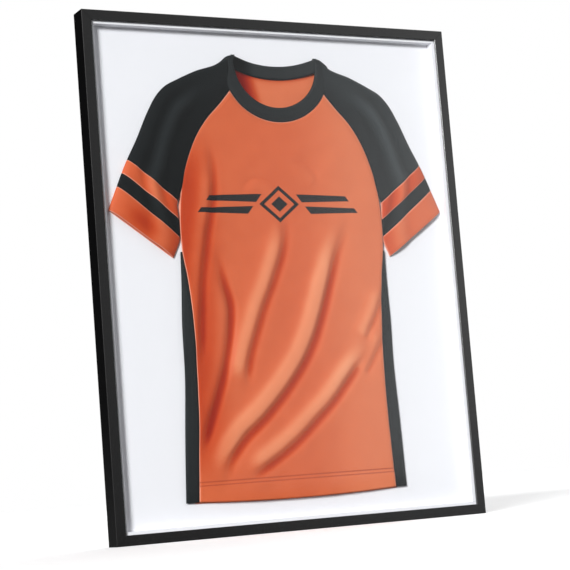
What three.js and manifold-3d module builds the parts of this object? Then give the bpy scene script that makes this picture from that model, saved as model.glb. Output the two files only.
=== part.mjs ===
// Framed jersey display: a black box frame with clear glazing, white spacers and a backing board,
// holding a short-sleeved raglan jersey on an inner former. Millimetres, +Z up, front facing -Y.

import * as THREE from 'three';
import Module from 'manifold-3d';
import { mergeVertices } from 'three/addons/utils/BufferGeometryUtils.js';

// Frame moulding: an L section, mitred at the corners.
const outerWidth = 656;
const outerHeight = 820;
const faceWidth = 16;
const wallThickness = 11;
const lipThickness = 3;
const edgeChamfer = 0.6;

// Stack of sheets inside the frame, front to back.
const glazingThickness = 1.5;
const cavityDepth = 14;
const mountBoardThickness = 10;
const backPanelThickness = 3;
const backRecess = 0.3;
const spacerThickness = 9.2;

// Clearances.
const touchGap = 0.3;
const sheetClearance = 0.6;
const seamGap = 0.3;
const holeClearance = 0.3;
const cutOverrun = 1;
const weldDistance = 1e-4;

// Corner nails, turn-buttons, screws, hangers and pads on the back.
const cornerNailDepth = 10;
const cornerNailThickness = 0.8;
const cornerNailSetback = 3;
const buttonThickness = 1.2;
const buttonReach = 22;
const buttonSideMargin = 1.5;
const buttonFromEnd = 200;
const screwShankRadius = 1.5;
const screwLength = 12;
const screwPointLength = 3;
const screwHeadRadius = 3.2;
const screwHeadHeight = 1.8;
const hangerLength = 45;
const hangerFootLength = 11;
const hangerRampLength = 4;
const hangerRise = 2.2;
const hangerThickness = 1;
const hangerSideMargin = 1;
const hangerFromEnd = 95;
const hangerToothPitch = 3.6;
const hangerToothDepth = 1.8;
const hangerToothCount = 5;
const tackShankRadius = 0.7;
const tackLength = 10;
const tackPointLength = 2.1;
const tackHeadRadius = 1.9;
const tackHeadHeight = 0.8;
const padThickness = 3.7;
const padSideMargin = 1;
const padFromEnd = 30;
const padEdge = 1;

// Jersey: layer thicknesses, and the room left round it in the cavity.
const backLayerThickness = 1.2;
const formerThickness = 3.5;
const frontLayerThickness = 4;
const sleeveThickness = 9.5;
const sidePanelThickness = 9;
const frontCollarThickness = 4.6;
const backCollarThickness = 4.4;
const formerInset = 8;
const pinHeadRadius = 4;
const pinHeadHeight = 0.9;
const pinShankRadius = 0.7;
const pinPointLength = 1.4;
const pinTipCover = 1;
const jerseySideMargin = 7.5;
const jerseyTopMargin = 34.5;
const jerseyBottomMargin = 30.5;
const jerseyHemShift = -8;
const jerseyCollarShift = 7;

// Depths from the front face, worked out from the stack.
const glazingFront = lipThickness + touchGap;
const spacerFront = glazingFront + glazingThickness + touchGap;
const spacerBack = spacerFront + cavityDepth;
const mountBoardFront = spacerBack + touchGap;
const mountBoardBack = mountBoardFront + mountBoardThickness;
const backPanelFront = mountBoardBack + touchGap;
const backPanelBack = backPanelFront + backPanelThickness;
const mouldingDepth = backPanelBack + backRecess;
const hardwareFront = mouldingDepth + touchGap;
const overallDepth = hardwareFront + padThickness;
const backLayerBack = mountBoardFront - touchGap;
const formerBack = backLayerBack - backLayerThickness - touchGap;
const formerFront = formerBack - formerThickness;
const pinHeadBack = formerFront - touchGap;
const frontLayerBack = pinHeadBack - pinHeadHeight - touchGap;

// The opening inside the spacers.
const spacerInset = wallThickness + touchGap + spacerThickness;
const cavityWidth = outerWidth - 2 * spacerInset;
const cavityHeight = outerHeight - 2 * spacerInset;

const finishes = {
  moulding: new THREE.MeshStandardMaterial({ color: 0x1c1c1d, roughness: 0.5, metalness: 0 }),
  glazing: new THREE.MeshStandardMaterial({
    color: 0xf2f6f8, roughness: 0.05, metalness: 0, transparent: true, opacity: 0.15,
  }),
  whiteCard: new THREE.MeshStandardMaterial({ color: 0xf4f4f8, roughness: 0.8, metalness: 0 }),
  hardboard: new THREE.MeshStandardMaterial({ color: 0x6e4c31, roughness: 0.75, metalness: 0 }),
  steel: new THREE.MeshStandardMaterial({ color: 0xb9bbbd, roughness: 0.35, metalness: 1 }),
  rubber: new THREE.MeshStandardMaterial({ color: 0x2a2a2b, roughness: 0.9, metalness: 0 }),
  orangeCloth: new THREE.MeshStandardMaterial({ color: 0xe0693f, roughness: 0.8, metalness: 0 }),
  darkCloth: new THREE.MeshStandardMaterial({ color: 0x2f373a, roughness: 0.85, metalness: 0 }),
};

const circleSteps = 20;
const seamSteps = 16;
const sideSteps = 10;
const shoulderArcSteps = 6;

const manifoldModule = await Module();
manifoldModule.setup();

// A closed geometry as a manifold solid, and back again.
function toSolid(geometry) {
  const positionsOnly = geometry.clone();
  positionsOnly.deleteAttribute('normal');
  positionsOnly.deleteAttribute('uv');
  const merged = mergeVertices(positionsOnly, weldDistance);
  return new manifoldModule.Manifold(new manifoldModule.Mesh({
    numProp: 3,
    vertProperties: new Float32Array(merged.attributes.position.array),
    triVerts: new Uint32Array(merged.index.array),
  }));
}

function toGeometry(solid) {
  const mesh = solid.getMesh();
  const geometry = new THREE.BufferGeometry();
  geometry.setAttribute('position', new THREE.BufferAttribute(new Float32Array(mesh.vertProperties), 3));
  geometry.setIndex(new THREE.BufferAttribute(new Uint32Array(mesh.triVerts), 1));
  geometry.computeVertexNormals();
  return geometry;
}

function cutAway(geometry, cutters) {
  let solid = toSolid(geometry);
  for (const cutter of cutters) {
    solid = solid.subtract(toSolid(cutter));
  }
  return toGeometry(solid);
}

function addPiece(group, name, geometry, finish) {
  const piece = new THREE.Mesh(geometry, finish);
  piece.name = name;
  group.add(piece);
  return piece;
}

// A sheet cut to an outline in x and z, with round holes, filling the depths from front to back.
function sheetGeometry(outline, front, back, holes = []) {
  const turnsLeft = THREE.ShapeUtils.area(outline) > 0;
  const shape = new THREE.Shape(turnsLeft ? outline : [...outline].reverse());
  for (const hole of holes) {
    const path = new THREE.Path();
    path.absarc(hole.x, hole.z, hole.radius, 0, 2 * Math.PI, true);
    shape.holes.push(path);
  }
  const geometry = new THREE.ExtrudeGeometry(shape, {
    depth: back - front, bevelEnabled: false, curveSegments: circleSteps / 2,
  });
  geometry.rotateX(Math.PI / 2);
  geometry.translate(0, back, 0);
  return geometry;
}

function rectangle(left, bottom, right, top) {
  return [
    new THREE.Vector2(left, bottom), new THREE.Vector2(right, bottom),
    new THREE.Vector2(right, top), new THREE.Vector2(left, top),
  ];
}

// A turned piece on the Y axis: its profile is a list of radius and depth pairs.
function turnedGeometry(profile) {
  const points = profile.map(([radius, depth]) => new THREE.Vector2(radius, depth));
  return new THREE.LatheGeometry(points, circleSteps);
}

// A plain round bar along the depth, used to cut holes.
function boreGeometry(x, z, radius, front, back) {
  const geometry = new THREE.CylinderGeometry(radius, radius, back - front, circleSteps);
  geometry.translate(x, (front + back) / 2, z);
  return geometry;
}

// Frame sides. Each side is drawn in its own group: x runs inward from the outer edge, y is the depth
// and z runs along the side from one corner to the next.
const mouldingProfile = [
  [edgeChamfer, 0], [faceWidth - edgeChamfer, 0], [faceWidth, edgeChamfer], [faceWidth, lipThickness],
  [wallThickness, lipThickness], [wallThickness, mouldingDepth], [0, mouldingDepth], [0, edgeChamfer],
].map(([x, y]) => new THREE.Vector2(x, y));

function mouldingGeometry(length) {
  const section = new THREE.Shape(mouldingProfile);
  const geometry = new THREE.ExtrudeGeometry(section, { depth: length, bevelEnabled: false });
  // Mitre both ends: each end corner moves along the side by its distance from the outer edge.
  const halfGap = touchGap / Math.SQRT2;
  const position = geometry.attributes.position;
  for (let i = 0; i < position.count; i += 1) {
    const slant = position.getX(i) + halfGap;
    position.setZ(i, position.getZ(i) > length / 2 ? length - slant : slant);
  }
  geometry.computeVertexNormals();
  return geometry;
}

// A corner nail is a folded strip: its ridge lies on the mitre and one leg goes into each side.
const cornerNailRidge = wallThickness - cornerNailSetback;
const cornerNailLeg = wallThickness / 2;
const cornerNailBack = mouldingDepth - touchGap;

function cornerNailOutline(grow) {
  const outside = cornerNailRidge + grow;
  const inside = cornerNailRidge - cornerNailThickness - grow;
  const tip = cornerNailRidge - cornerNailLeg - grow;
  return [
    new THREE.Vector2(outside, outside), new THREE.Vector2(tip, outside), new THREE.Vector2(tip, inside),
    new THREE.Vector2(inside, inside), new THREE.Vector2(inside, tip), new THREE.Vector2(outside, tip),
  ];
}

function cornerNailSlot(flipLength) {
  const outline = cornerNailOutline(touchGap)
    .map((point) => new THREE.Vector2(point.x, flipLength ? flipLength - point.y : point.y));
  const front = cornerNailBack - cornerNailDepth - touchGap;
  return sheetGeometry(outline, front, mouldingDepth + cutOverrun);
}

// Turn-button: a slotted strip with round ends that swings on its screw.
const buttonHalfWidth = wallThickness / 2 - buttonSideMargin;
const buttonBack = hardwareFront + buttonThickness;
const pivotInset = wallThickness / 2;

function buttonGeometry(along) {
  const shape = new THREE.Shape();
  shape.absarc(pivotInset, along, buttonHalfWidth, Math.PI / 2, 1.5 * Math.PI);
  shape.absarc(pivotInset + buttonReach, along, buttonHalfWidth, -Math.PI / 2, Math.PI / 2);
  const hole = { x: pivotInset, z: along, radius: screwShankRadius + holeClearance };
  return sheetGeometry(shape.getPoints(circleSteps / 2).slice(0, -1), hardwareFront, buttonBack, [hole]);
}

// A rounded head: each step is a share of the head's radius and of its height.
const screwDome = [[1, 0.5], [0.8, 0.85], [0.45, 1], [0, 1]];
const tackDome = [[1, 0.6], [0.6, 1], [0, 1]];

function dome(steps, radius, start, height) {
  return steps.map(([across, up]) => [across * radius, start + up * height]);
}

function screwGeometry() {
  const headFront = buttonBack + touchGap;
  const tip = headFront - screwLength;
  return turnedGeometry([
    [0, tip], [screwShankRadius, tip + screwPointLength], [screwShankRadius, headFront],
    [screwHeadRadius, headFront], ...dome(screwDome, screwHeadRadius, headFront, screwHeadHeight),
  ]);
}

// Sawtooth hanger: a strip with two feet on the rail and a raised middle whose lower edge is toothed.
const hangerLow = wallThickness - hangerSideMargin;
const hangerBack = hardwareFront + hangerThickness;

function hangerGeometry(along) {
  const half = hangerLength / 2;
  const foot = half - hangerFootLength;
  const crown = foot - hangerRampLength;
  const lower = [[-half, 0], [-foot, 0], [-crown, hangerRise], [crown, hangerRise], [foot, 0], [half, 0]];
  const upper = lower.map(([x, y]) => [x, y + hangerThickness]).reverse();
  const shape = new THREE.Shape([...lower, ...upper].map(([x, y]) => new THREE.Vector2(x, y)));
  const width = hangerLow - hangerSideMargin;
  const strip = new THREE.ExtrudeGeometry(shape, { depth: width, bevelEnabled: false });
  strip.rotateY(-Math.PI / 2);
  strip.translate(hangerLow, hardwareFront, along);
  const cutters = tackPlaces(along).map((z) => (
    boreGeometry(pivotInset, z, tackShankRadius + holeClearance, mouldingDepth, hangerBack + hangerRise)));
  for (let i = 0; i < hangerToothCount; i += 1) {
    const middle = along + (i - (hangerToothCount - 1) / 2) * hangerToothPitch;
    const notch = [
      new THREE.Vector2(hangerLow + cutOverrun, middle - hangerToothPitch / 2),
      new THREE.Vector2(hangerLow + cutOverrun, middle + hangerToothPitch / 2),
      new THREE.Vector2(hangerLow - hangerToothDepth, middle),
    ];
    cutters.push(sheetGeometry(notch, mouldingDepth, hangerBack + hangerRise + cutOverrun));
  }
  return cutAway(strip, cutters);
}

function tackPlaces(along) {
  const reach = hangerLength / 2 - hangerFootLength / 2;
  return [along - reach, along + reach];
}

function tackGeometry() {
  const headFront = hangerBack + touchGap;
  const tip = headFront - tackLength;
  return turnedGeometry([
    [0, tip], [tackShankRadius, tip + tackPointLength], [tackShankRadius, headFront],
    [tackHeadRadius, headFront], ...dome(tackDome, tackHeadRadius, headFront, tackHeadHeight),
  ]);
}

function padGeometry() {
  const radius = wallThickness / 2 - padSideMargin;
  return turnedGeometry([
    [0, hardwareFront], [radius, hardwareFront],
    [radius, overallDepth - padEdge], [radius - padEdge, overallDepth],
    [0, overallDepth],
  ]);
}

const sides = [
  { name: 'left', rail: 'frame_stile_left', length: outerHeight, corner: [-outerWidth / 2, 0] },
  { name: 'top', rail: 'frame_rail_top', length: outerWidth, corner: [-outerWidth / 2, outerHeight] },
  { name: 'right', rail: 'frame_stile_right', length: outerHeight, corner: [outerWidth / 2, outerHeight] },
  { name: 'bottom', rail: 'frame_rail_bottom', length: outerWidth, corner: [outerWidth / 2, 0] },
];
const cornerNames = ['lower_left', 'upper_left', 'upper_right', 'lower_right'];

function buildSide(side, index) {
  const group = new THREE.Group();
  group.position.set(side.corner[0], 0, side.corner[1]);
  group.rotation.y = index * Math.PI / 2;

  const buttonPlaces = [buttonFromEnd, side.length - buttonFromEnd];
  const hangerPlaces = side.name === 'top' ? [hangerFromEnd, side.length - hangerFromEnd] : [];
  const screwTip = buttonBack + touchGap - screwLength - touchGap;
  const tackTip = hangerBack + touchGap - tackLength - touchGap;
  const cutters = [cornerNailSlot(0), cornerNailSlot(side.length)];
  const boreEnd = mouldingDepth + cutOverrun;
  for (const z of buttonPlaces) {
    cutters.push(boreGeometry(pivotInset, z, screwShankRadius + holeClearance, screwTip, boreEnd));
  }
  for (const z of hangerPlaces.flatMap(tackPlaces)) {
    cutters.push(boreGeometry(pivotInset, z, tackShankRadius + holeClearance, tackTip, boreEnd));
  }
  addPiece(group, side.rail, cutAway(mouldingGeometry(side.length), cutters), finishes.moulding);

  const nail = sheetGeometry(cornerNailOutline(0), cornerNailBack - cornerNailDepth, cornerNailBack);
  addPiece(group, `corner_nail_${cornerNames[index]}`, nail, finishes.steel);

  // Upright spacers stand between the level ones.
  const upright = side.name === 'left' || side.name === 'right';
  const near = wallThickness + touchGap;
  const start = upright ? spacerInset + touchGap : near;
  const spacerOutline = rectangle(near, start, spacerInset, side.length - start);
  const strip = sheetGeometry(spacerOutline, spacerFront, spacerBack);
  addPiece(group, `spacer_${side.name}`, strip, finishes.whiteCard);

  buttonPlaces.forEach((z, i) => {
    addPiece(group, `turn_button_${side.name}_${i + 1}`, buttonGeometry(z), finishes.steel);
    const screw = addPiece(group, `button_screw_${side.name}_${i + 1}`, screwGeometry(), finishes.steel);
    screw.position.set(pivotInset, 0, z);
  });

  hangerPlaces.forEach((z, i) => {
    addPiece(group, `sawtooth_hanger_${i + 1}`, hangerGeometry(z), finishes.steel);
    tackPlaces(z).forEach((place, j) => {
      const tack = addPiece(group, `hanger_tack_${i + 1}_${j + 1}`, tackGeometry(), finishes.steel);
      tack.position.set(pivotInset, 0, place);
    });
  });

  if (side.name === 'bottom') {
    [padFromEnd, side.length - padFromEnd].forEach((z, i) => {
      const pad = addPiece(group, `wall_pad_${i + 1}`, padGeometry(), finishes.rubber);
      pad.position.set(pivotInset, 0, z);
    });
  }
  return group;
}

// Sheets that fill the frame from wall to wall.
function buildSheets() {
  const group = new THREE.Group();
  const inset = wallThickness + sheetClearance;
  const half = outerWidth / 2 - inset;
  const outline = rectangle(-half, inset, half, outerHeight - inset);
  const glazing = sheetGeometry(outline, glazingFront, glazingFront + glazingThickness);
  addPiece(group, 'glazing', glazing, finishes.glazing);
  const board = sheetGeometry(outline, mountBoardFront, mountBoardBack, pinHoles);
  addPiece(group, 'mount_board', board, finishes.whiteCard);
  addPiece(group, 'back_panel', sheetGeometry(outline, backPanelFront, backPanelBack), finishes.hardboard);
  return group;
}

// Jersey pattern, right half, in millimetres: x from the centre line, z up from the hem.
const pattern = {
  halfSpan: 300,
  length: 713,
  neckCentre: 699,
  neckInner: [75, 73],
  neckOuter: [98, 96],
  collarPeak: [72, 713],
  collarShoulder: [86, 709],
  backNeckLow: 674,
  backNeckHigh: 697,
  backNeckRise: 15,
  raglanSeam: [
    [86, 653], [107, 629], [130, 605], [148, 579], [160, 554],
    [171, 523], [178, 493], [182, 460], [182, 396],
  ],
  shoulder: [[98, 699], [141, 683], [174, 668], [196, 656], [212, 639], [225, 617], [249, 567], [265, 537]],
  stripeTop: [[265, 537], [185, 473]],
  bandTop: [[275, 516], [184, 444]],
  cuffTop: [[284, 495], [183.5, 415]],
  cuffEnd: [[300, 458], [196, 383]],
  armpit: [183, 396],
  sideSeam: [[182, 396], [176, 352], [170, 279], [168, 214], [170, 114], [173, 53], [175.5, 5]],
  sideEdge: [[184.5, 392], [185, 352], [188, 276], [188, 199], [192, 116], [195, 52], [197, 6]],
  hemCentre: [0, 0],
  backNeckTuck: [3, 2],
  formerNeck: 590,
  pins: [[95, 560], [130, 60]],
};
const raglanFormerStart = 3;

// The pattern is fitted to the cavity, and its centre line drifts from the hem to the collar.
const fitX = (cavityWidth - 2 * jerseySideMargin) / (2 * pattern.halfSpan);
const fitZ = (cavityHeight - jerseyTopMargin - jerseyBottomMargin) / (pattern.length + 1);

function place(x, z) {
  const shift = jerseyHemShift + (jerseyCollarShift - jerseyHemShift) * z / pattern.length;
  return new THREE.Vector2(x * fitX + shift, spacerInset + jerseyBottomMargin + z * fitZ);
}

// Smooth line through pattern points, as x and z pairs.
function smooth(points, steps = seamSteps) {
  return new THREE.SplineCurve(points.map(([x, z]) => new THREE.Vector2(x, z)))
    .getPoints(steps).map((point) => [point.x, point.y]);
}

// Part of the neck ellipse between two angles, measured from straight down towards the right.
function neckArc([halfWidth, drop], from, to, steps = seamSteps) {
  return Array.from({ length: steps + 1 }, (_, i) => {
    const angle = from + (to - from) * i / steps;
    return [halfWidth * Math.sin(angle), pattern.neckCentre - drop * Math.cos(angle)];
  });
}

const mirror = (points) => points.map(([x, z]) => [-x, z]).reverse();

// The outline moved inward by a distance, corner by corner; it may run either way round. A very
// sharp corner moves no further than its sharpest allowed share gives.
const sharpestCorner = 0.3;

function inset(points, distance) {
  const turn = THREE.ShapeUtils.area(points) > 0 ? 1 : -1;
  return points.map((point, i) => {
    const before = points[(i + points.length - 1) % points.length];
    const after = points[(i + 1) % points.length];
    const edgeIn = point.clone().sub(before).normalize();
    const edgeOut = after.clone().sub(point).normalize();
    const normalIn = new THREE.Vector2(-edgeIn.y, edgeIn.x);
    const normalOut = new THREE.Vector2(-edgeOut.y, edgeOut.x);
    const middle = normalIn.clone().add(normalOut).normalize();
    const reach = distance / Math.max(sharpestCorner, middle.dot(normalIn));
    return point.clone().addScaledVector(middle, turn * reach);
  });
}

function clothPiece(group, name, points, front, back, finish, holes = []) {
  const outline = inset(points.map(([x, z]) => place(x, z)), seamGap / 2);
  addPiece(group, name, sheetGeometry(outline, front, back, holes), finish);
}

const raglanLine = smooth(pattern.raglanSeam);
const shoulderLine = smooth(pattern.shoulder);
const sideSeamLine = smooth(pattern.sideSeam, sideSteps);
const sideEdgeLine = smooth(pattern.sideEdge, sideSteps);
const neckApex = Math.asin(pattern.raglanSeam[0][0] / pattern.neckOuter[0]);
const neckSide = Math.PI / 2;

const pinPlaces = pattern.pins.flatMap(([x, z]) => [[-x, z], [x, z]]).map(([x, z]) => {
  const point = place(x, z);
  return { x: point.x, z: point.y };
});
const pinHoles = pinPlaces.map((pin) => ({ ...pin, radius: pinShankRadius + holeClearance }));

function buildJersey() {
  const group = new THREE.Group();
  const { orangeCloth, darkCloth, whiteCard, steel } = finishes;

  const rightEdge = [...raglanLine, ...sideSeamLine.slice(1)];
  const frontNeck = neckArc(pattern.neckOuter, -neckApex, neckApex).slice(1, -1);
  const front = [...frontNeck, ...rightEdge, pattern.hemCentre, ...mirror(rightEdge)];
  const frontLayerFront = frontLayerBack - frontLayerThickness;
  clothPiece(group, 'jersey_front', front, frontLayerFront, frontLayerBack, orangeCloth);

  const [neckTuck, bandTuck] = pattern.backNeckTuck;
  const backNeck = backNeckCurve(pattern.backNeckHigh - bandTuck, pattern.neckOuter[0] - neckTuck);
  const back = [...backNeck, ...rightEdge, pattern.hemCentre, ...mirror(rightEdge)];
  const backLayerFront = backLayerBack - backLayerThickness;
  clothPiece(group, 'jersey_back', back, backLayerFront, backLayerBack, orangeCloth, pinHoles);

  const rightPeak = [pattern.collarShoulder, pattern.collarPeak];
  const collar = [
    ...neckArc(pattern.neckOuter, -neckSide, neckSide, 2 * seamSteps), ...rightPeak,
    ...neckArc(pattern.neckInner, neckSide, -neckSide, 2 * seamSteps), ...mirror(rightPeak),
  ];
  const frontCollarFront = frontLayerBack - frontCollarThickness;
  clothPiece(group, 'collar_front', collar, frontCollarFront, frontLayerBack, darkCloth);
  const backCollar = [
    ...backNeckCurve(pattern.backNeckLow, pattern.neckInner[0]),
    ...backNeckCurve(pattern.backNeckHigh, pattern.neckInner[0]).reverse(),
  ];
  clothPiece(group, 'collar_back', backCollar, formerBack - backCollarThickness, formerBack, darkCloth);

  for (const [sideName, flip] of [['left', -1], ['right', 1]]) {
    const onSide = (points) => (flip < 0 ? mirror(points) : points);
    const sleeveFront = backLayerBack - sleeveThickness;
    const sleevePiece = (name, points, finish) => {
      clothPiece(group, `${name}_${sideName}`, onSide(points), sleeveFront, backLayerBack, finish);
    };
    const sleeve = [
      ...shoulderLine, pattern.stripeTop[1], ...raglanAbove(pattern.stripeTop[1][1]).reverse(),
      ...neckArc(pattern.neckOuter, neckApex, neckSide, shoulderArcSteps).slice(1, -1),
    ];
    sleevePiece('sleeve', sleeve, darkCloth);
    sleevePiece('sleeve_stripe', [...pattern.stripeTop, ...[...pattern.bandTop].reverse()], orangeCloth);
    sleevePiece('sleeve_band', [...pattern.bandTop, ...[...pattern.cuffTop].reverse()], darkCloth);
    const cuff = [...pattern.cuffTop, pattern.armpit, ...[...pattern.cuffEnd].reverse()];
    sleevePiece('sleeve_cuff', cuff, orangeCloth);
    const sidePanel = onSide([...sideSeamLine, ...[...sideEdgeLine].reverse()]);
    const sideFront = backLayerBack - sidePanelThickness;
    clothPiece(group, `side_panel_${sideName}`, sidePanel, sideFront, backLayerBack, darkCloth);
  }

  // The former is the body's outline below the neck, set back from the seams.
  const formerSide = [...raglanLine.slice(raglanFormerStart), ...sideSeamLine.slice(1)];
  const formerOutline = inset([
    [0, pattern.formerNeck], ...formerSide, [0, 0], ...mirror(formerSide),
  ].map(([x, z]) => place(x, z)), formerInset);
  const former = sheetGeometry(formerOutline, formerFront, formerBack, pinHoles);
  addPiece(group, 'jersey_former', former, whiteCard);

  // Flat-headed pins go through the former and the jersey's back into the board.
  pinPlaces.forEach((pin, i) => {
    const tip = mountBoardBack - pinTipCover;
    const headFront = pinHeadBack - pinHeadHeight;
    const piece = addPiece(group, `jersey_pin_${i + 1}`, turnedGeometry([
      [0, headFront], [pinHeadRadius, headFront], [pinHeadRadius, pinHeadBack],
      [pinShankRadius, pinHeadBack], [pinShankRadius, tip - pinPointLength], [0, tip],
    ]), steel);
    piece.position.set(pin.x, 0, pin.z);
  });
  return group;
}

// The back neck edge rises from the middle to both sides.
function backNeckCurve(lowest, halfWidth) {
  return Array.from({ length: seamSteps + 1 }, (_, i) => {
    const share = 2 * i / seamSteps - 1;
    return [halfWidth * share, lowest + pattern.backNeckRise * share * share];
  });
}

function raglanAbove(height) {
  return raglanLine.filter(([, z]) => z > height + 1);
}

const frame = new THREE.Group();
sides.forEach((side, index) => frame.add(buildSide(side, index)));
frame.add(buildSheets(), buildJersey());
frame.position.y = -overallDepth / 2;

const displayFrame = new THREE.Group();
displayFrame.add(frame);

export default displayFrame;
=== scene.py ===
import bpy
import numpy as np
from mathutils import Matrix, Vector


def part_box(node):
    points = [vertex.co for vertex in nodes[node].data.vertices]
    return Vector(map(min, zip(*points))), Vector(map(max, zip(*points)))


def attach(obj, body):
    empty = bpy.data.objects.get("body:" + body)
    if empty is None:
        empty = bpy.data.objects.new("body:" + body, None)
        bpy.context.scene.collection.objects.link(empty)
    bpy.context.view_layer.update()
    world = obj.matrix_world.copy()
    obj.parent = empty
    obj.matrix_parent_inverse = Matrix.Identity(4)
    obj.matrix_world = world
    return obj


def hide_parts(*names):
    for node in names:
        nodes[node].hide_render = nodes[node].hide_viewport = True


# A framed jersey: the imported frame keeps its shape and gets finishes, and the jersey is sewn here
# from sheets worked out in the jersey's own pattern millimetres.

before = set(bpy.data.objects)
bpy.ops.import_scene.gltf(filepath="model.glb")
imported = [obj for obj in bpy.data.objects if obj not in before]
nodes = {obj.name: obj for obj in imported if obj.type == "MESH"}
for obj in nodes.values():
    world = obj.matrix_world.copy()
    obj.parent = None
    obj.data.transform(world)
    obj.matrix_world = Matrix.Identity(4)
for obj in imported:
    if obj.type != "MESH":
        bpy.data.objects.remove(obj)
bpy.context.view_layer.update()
print("frame loaded:", len(nodes), "nodes")

mainBody = "display_frame"
millimetre = 0.001

# Where things are, read from the frame.
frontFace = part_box("frame_stile_left")[0].y
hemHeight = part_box("jersey_front")[0].z


def smoothStep(value, low, high):
    # 0 below low, 1 above high, and an s-curve between them
    part = np.clip((value - low) / (high - low), 0, 1)
    return part * part * (3 - 2 * part)


def bump(value, width):
    # a bell curve of height 1
    return np.exp(-(value / width) ** 2)


def chordShares(points):
    # share of the whole length at each point of a chain
    steps = np.hypot(*np.diff(np.array(points, float), axis=0).T)
    total = np.concatenate([[0], np.cumsum(steps)])
    return total / total[-1]


def smoothCurve(points, share):
    # a point on a smooth curve through the points: cubic pieces over the chord length,
    # with each tangent taken from its two neighbours
    p = np.array(points, float)
    chord = chordShares(p)
    slope = np.gradient(p, chord, axis=0)
    share = np.clip(share, 0, 1)
    k = np.clip(np.searchsorted(chord, share, side="right") - 1, 0, len(p) - 2)
    span = (chord[k + 1] - chord[k])[..., None]
    s = (share - chord[k])[..., None] / span
    return ((1 + 2 * s) * (1 - s) ** 2 * p[k] + s * (1 - s) ** 2 * span * slope[k]
            + s * s * (3 - 2 * s) * p[k + 1] + s * s * (s - 1) * span * slope[k + 1])


def evenToEdges(count, crowding):
    # count values from 0 to 1, crowded towards both ends
    w = np.linspace(0, 1, count)
    return (1 - crowding) * w + crowding * (1 - np.cos(np.pi * w)) / 2


def gridMesh(name, points, cloth=None, edge=None, paintedShading=None, closedAcross=False):
    # quads over a grid of points [row, column, xyz]; cloth holds each corner's place on the flat
    # cloth in metres, edge its distance to the nearest seam in millimetres, and the last values are the
    # painted shade and light: 0 is plain cloth, above 0 is painted darker and below 0 painted lighter
    rows, columns = points.shape[:2]
    mesh = bpy.data.meshes.new(name)
    across = np.arange(columns if closedAcross else columns - 1)
    r, c = np.meshgrid(np.arange(rows - 1), across, indexing="ij")
    nextColumn = (c + 1) % columns
    faces = np.stack([r * columns + c, r * columns + nextColumn,
                      (r + 1) * columns + nextColumn, (r + 1) * columns + c], -1).reshape(-1, 4)
    mesh.vertices.add(rows * columns)
    mesh.vertices.foreach_set("co", points.reshape(-1).astype(np.float32))
    mesh.loops.add(faces.size)
    mesh.loops.foreach_set("vertex_index", faces.reshape(-1).astype(np.int32))
    mesh.polygons.add(len(faces))
    mesh.polygons.foreach_set("loop_start", np.arange(0, faces.size, 4, dtype=np.int32))
    mesh.polygons.foreach_set("use_smooth", np.ones(len(faces), bool))
    mesh.update(calc_edges=True)
    if cloth is not None:
        corners = cloth.reshape(-1, 2)[faces.reshape(-1)]
        layer = mesh.uv_layers.new(name="cloth")
        layer.uv.foreach_set("vector", corners.reshape(-1).astype(np.float32))
    for attributeName, values in (("seamDistance", edge), ("paintedShading", paintedShading)):
        if values is not None:
            attribute = mesh.attributes.new(attributeName, "FLOAT", "POINT")
            attribute.data.foreach_set("value", values.reshape(-1).astype(np.float32))
    mesh.validate()
    piece = bpy.data.objects.new(name, mesh)
    bpy.context.scene.collection.objects.link(piece)
    return piece


def thicken(piece, thickness, offset=-1.0):
    # a wall of that thickness behind the surface, with its rim closed
    wall = piece.modifiers.new("wall", "SOLIDIFY")
    wall.thickness = thickness * millimetre
    wall.offset = offset
    wall.use_rim = True
    wall.use_even_offset = False
    return piece


def dress(piece, material, slotName, *replaced):
    # finish, body and the CAD nodes that the piece stands for
    piece.data.materials.append(material)
    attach(piece, mainBody)
    if replaced:
        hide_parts(*replaced)
    return piece


def feed(tree, socket, value):
    if hasattr(value, "is_linked"):
        tree.links.new(value, socket)
    elif value is not None:
        socket.default_value = value


def calc(tree, operation, first, second=None, third=None, clamp=False):
    node = tree.nodes.new("ShaderNodeMath")
    node.operation = operation
    node.use_clamp = clamp
    for socket, value in zip(node.inputs, (first, second, third)):
        feed(tree, socket, value)
    return node.outputs[0]


def mapRange(tree, value, low, high, toLow=0.0, toHigh=1.0, smooth=True):
    node = tree.nodes.new("ShaderNodeMapRange")
    node.interpolation_type = "SMOOTHSTEP" if smooth else "LINEAR"
    for socket, given in zip(node.inputs, (value, low, high, toLow, toHigh)):
        feed(tree, socket, given)
    return node.outputs[0]


def mixColour(tree, factor, first, second, blend="MIX"):
    node = tree.nodes.new("ShaderNodeMix")
    node.data_type = "RGBA"
    node.blend_type = blend
    feed(tree, node.inputs[0], factor)
    feed(tree, node.inputs[6], first)
    feed(tree, node.inputs[7], second)
    return node.outputs[2]


def noise(tree, vector, scale, detail=3.0, roughness=0.5):
    node = tree.nodes.new("ShaderNodeTexNoise")
    feed(tree, node.inputs["Vector"], vector)
    node.inputs["Scale"].default_value = scale
    node.inputs["Detail"].default_value = detail
    node.inputs["Roughness"].default_value = roughness
    return node.outputs[0]


def objectPlace(tree):
    return tree.nodes.new("ShaderNodeTexCoord").outputs["Object"]


def stretched(tree, vector, x, y, z):
    node = tree.nodes.new("ShaderNodeMapping")
    feed(tree, node.inputs["Vector"], vector)
    node.inputs["Scale"].default_value = (x, y, z)
    return node.outputs[0]


def split(tree, vector):
    node = tree.nodes.new("ShaderNodeSeparateXYZ")
    feed(tree, node.inputs[0], vector)
    return node.outputs


def raised(tree, height, distance, strength=1.0):
    node = tree.nodes.new("ShaderNodeBump")
    node.inputs["Strength"].default_value = strength
    node.inputs["Distance"].default_value = distance
    feed(tree, node.inputs["Height"], height)
    return node.outputs[0]


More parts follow.
